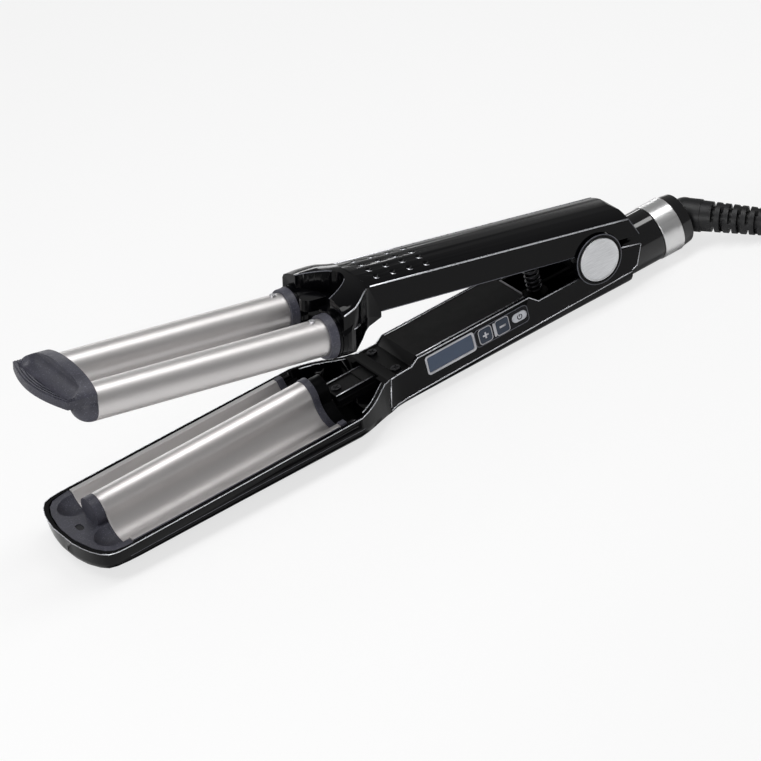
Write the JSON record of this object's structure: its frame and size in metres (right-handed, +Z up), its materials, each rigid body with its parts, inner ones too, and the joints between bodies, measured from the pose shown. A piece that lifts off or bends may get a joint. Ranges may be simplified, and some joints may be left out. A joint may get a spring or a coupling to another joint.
{
  "type": "hair crimper",
  "caption": "Hair waver whose sprung barrel arm closes onto a wave-shaped heated plate, with a side display, push keys and a swivelling mains cord",
  "frame": {"origin": "On the rest face under the lower arm, straight below the hinge axis", "axes": "+X towards the cord end along the arms, +Y away from the display side, +Z up from the surface that the lower arm lies on"},
  "size_m": [0.5749, 0.1184, 0.107],
  "materials": {
    "gloss_shell": "polished",
    "satin_deck": "satin",
    "titanium": "satin",
    "end_grey": "matte",
    "aluminium_part": "cast",
    "disc_metal": "brushed",
    "ring_steel": "brushed",
    "screw_steel": "plain",
    "ceramic": "matte",
    "sensor_brass": "plain",
    "board": "satin",
    "key_rubber": "matte",
    "wire_black": "satin",
    "lcd": "polished",
    "lcd_back": "satin",
    "light_trim": "polished",
    "panel_black": "polished",
    "key_blue": "polished",
    "key_silver": "satin",
    "soft_black": "matte",
    "cord_black": "satin",
    "plug_black": "satin"
  },
  "bodies": {
    "lower_arm": {"lower_shell": "gloss_shell", "lower_deck": "satin_deck", "deck_trim": "light_trim", "nose_insert": "end_grey", "wave_plate": "titanium", "plate_band": "end_grey", "plate_plug": "satin_deck", "neck_beam": "satin_deck", "neck_panel": "satin_deck", "plate_heater": "aluminium_part", "heater_brackets": "aluminium_part", "insulation": "ceramic", "heat_sensor": "sensor_brass", "thermal_fuse": "ceramic", "circuit_board": "board", "keypad": "key_rubber", "display_module": "lcd_back", "display_window": "lcd", "display_frame": "light_trim", "control_panel": "panel_black", "minus_bar": "light_trim", "lower_leads": "wire_black", "hinge_pin": "ring_steel", "hinge_discs": "disc_metal", "spring_post": "satin_deck", "return_spring": "ring_steel", "cord_collar": "gloss_shell", "steel_ring": "ring_steel", "black_ring": "gloss_shell", "lower_screws": "screw_steel"},
    "upper_arm": {"upper_shell": "gloss_shell", "upper_liner": "satin_deck", "yoke": "gloss_shell", "near_barrel": "titanium", "far_barrel": "titanium", "barrel_cores": "aluminium_part", "barrel_heaters": "ceramic", "barrel_collars": "end_grey", "barrel_seals": "gloss_shell", "tip_cap": "end_grey", "barrel_screws": "screw_steel", "tip_screws": "screw_steel", "hinge_block": "satin_deck", "spring_cup": "satin_deck", "upper_screws": "screw_steel", "upper_leads": "wire_black"},
    "cord_swivel": {"swivel_core": "soft_black", "swivel_elbow": "soft_black", "strain_relief": "soft_black", "cord_lead": "cord_black", "cord_coil": "cord_black", "cord_tail": "cord_black", "plug": "plug_black", "plug_pins": "sensor_brass"},
    "plus_key": {"plus_button": "key_blue"},
    "minus_key": {"minus_button": "key_blue"},
    "power_key": {"power_button": "key_silver"}
  },
  "joints": [
    {"name": "jaw_hinge", "type": "hinge", "parent": "lower_arm", "child": "upper_arm", "pos_m": [0, 0, 0.0276], "axis": [0, 1, 0], "range_deg": [-13.4, 0], "stiffness_Nm_per_rad": 0.9, "springref_deg": 34.38, "deforming": ["return_spring"]},
    {"name": "cord_turn", "type": "hinge", "parent": "lower_arm", "child": "cord_swivel", "pos_m": [0.05026, 0, 0.01546], "axis": [0.9998, 0, 0.0209], "continuous": true},
    {"name": "plus_press", "type": "slide", "parent": "lower_arm", "child": "plus_key", "axis": [0, 1, 0], "range_m": [0, 0.0006], "stiffness_N_per_m": 300, "springref_m": -0.0004},
    {"name": "minus_press", "type": "slide", "parent": "lower_arm", "child": "minus_key", "axis": [0, 1, 0], "range_m": [0, 0.0006], "stiffness_N_per_m": 300, "springref_m": -0.0004},
    {"name": "power_press", "type": "slide", "parent": "lower_arm", "child": "power_key", "axis": [0, 1, 0], "range_m": [0, 0.0006], "stiffness_N_per_m": 300, "springref_m": -0.0004}
  ]
}
